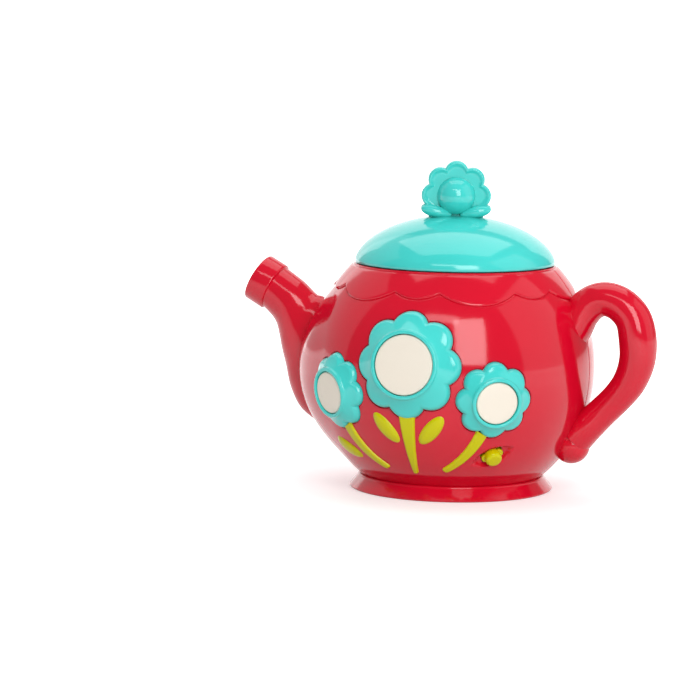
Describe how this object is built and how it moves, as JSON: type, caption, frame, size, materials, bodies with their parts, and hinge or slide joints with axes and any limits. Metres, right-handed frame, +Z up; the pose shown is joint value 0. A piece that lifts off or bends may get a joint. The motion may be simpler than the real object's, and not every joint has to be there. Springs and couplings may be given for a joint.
{
  "type": "toy teapot",
  "caption": "Round toy teapot with a hollow spout, ear-shaped handle, lift-off lid with a flower knob, flower-shaped push buttons on the front and a slide switch.",
  "frame": {"origin": "on the round body's axis at the plane of the foot's lower face", "axes": "+Z up along the body's axis, -Y out of the front with the flower buttons, -X towards the spout, +X towards the handle"},
  "size_m": [0.1976, 0.136, 0.15],
  "materials": {
    "red_shell": "gloss",
    "teal_gloss": "gloss",
    "lime_gloss": "gloss",
    "cream_cap": "satin",
    "press_rubber": "matte",
    "circuit_board": "satin",
    "screw_steel": "satin",
    "black_plastic": "matte",
    "magnet_iron": "matte",
    "cone_paper": "matte",
    "cell_sleeve": "satin",
    "red_lead": "satin",
    "black_lead": "satin"
  },
  "bodies": {
    "pot": {"front_shell": "red_shell", "rear_shell": "red_shell", "base": "red_shell", "tea_well": "red_shell", "spout": "red_shell", "spout_tip": "red_shell", "handle_front": "red_shell", "handle_rear": "red_shell", "centre_flower": "teal_gloss", "left_flower": "teal_gloss", "right_flower": "teal_gloss", "centre_stem": "lime_gloss", "left_stem": "lime_gloss", "right_stem": "lime_gloss", "centre_left_leaf": "lime_gloss", "centre_right_leaf": "lime_gloss", "left_leaf": "lime_gloss", "centre_dome": "press_rubber", "left_dome": "press_rubber", "right_dome": "press_rubber", "centre_button_board": "circuit_board", "left_button_board": "circuit_board", "right_button_board": "circuit_board", "button_board_screws": "screw_steel", "switch_body": "black_plastic", "switch_board": "circuit_board", "switch_screws": "screw_steel", "speaker_basket": "screw_steel", "speaker_cone": "cone_paper", "speaker_magnet": "magnet_iron", "speaker_screws": "screw_steel", "main_board": "circuit_board", "sound_chip": "black_plastic", "main_board_screws": "screw_steel", "front_cell": "cell_sleeve", "rear_cell": "cell_sleeve", "contact_plates": "screw_steel", "contact_springs": "screw_steel", "base_screws": "screw_steel", "shell_screws": "screw_steel", "speaker_leads": "red_lead", "button_leads": "black_lead", "switch_leads": "black_lead", "battery_leads": "red_lead"},
    "lid": {"lid_dome": "teal_gloss", "lid_liner": "teal_gloss", "lid_knob": "teal_gloss", "knob_screw": "screw_steel"},
    "centre_cap": {"centre_button": "cream_cap"},
    "left_cap": {"left_button": "cream_cap"},
    "right_cap": {"right_button": "cream_cap"},
    "switch": {"switch_slider": "lime_gloss"},
    "door": {"battery_door": "red_shell", "door_screws": "screw_steel"}
  },
  "joints": [
    {"name": "lid_lift", "type": "slide", "parent": "pot", "child": "lid", "axis": [0, 0, 1], "range_m": [0, 0.06]},
    {"name": "centre_press", "type": "slide", "parent": "pot", "child": "centre_cap", "axis": [0, 0.9942, -0.108], "range_m": [0, 0.002], "stiffness_N_per_m": 600, "deforming": ["centre_dome"]},
    {"name": "left_press", "type": "slide", "parent": "pot", "child": "left_cap", "axis": [0.5732, 0.8095, 0.1271], "range_m": [0, 0.002], "stiffness_N_per_m": 600, "deforming": ["left_dome"]},
    {"name": "right_press", "type": "slide", "parent": "pot", "child": "right_cap", "axis": [-0.5732, 0.8095, 0.1271], "range_m": [0, 0.002], "stiffness_N_per_m": 600, "deforming": ["right_dome"]},
    {"name": "power_slide", "type": "slide", "parent": "pot", "child": "switch", "axis": [0.849, 0.3489, 0.3968], "range_m": [-0.002, 0.002]},
    {"name": "door_off", "type": "slide", "parent": "pot", "child": "door", "axis": [0, 0, -1], "range_m": [0, 0.03]}
  ]
}
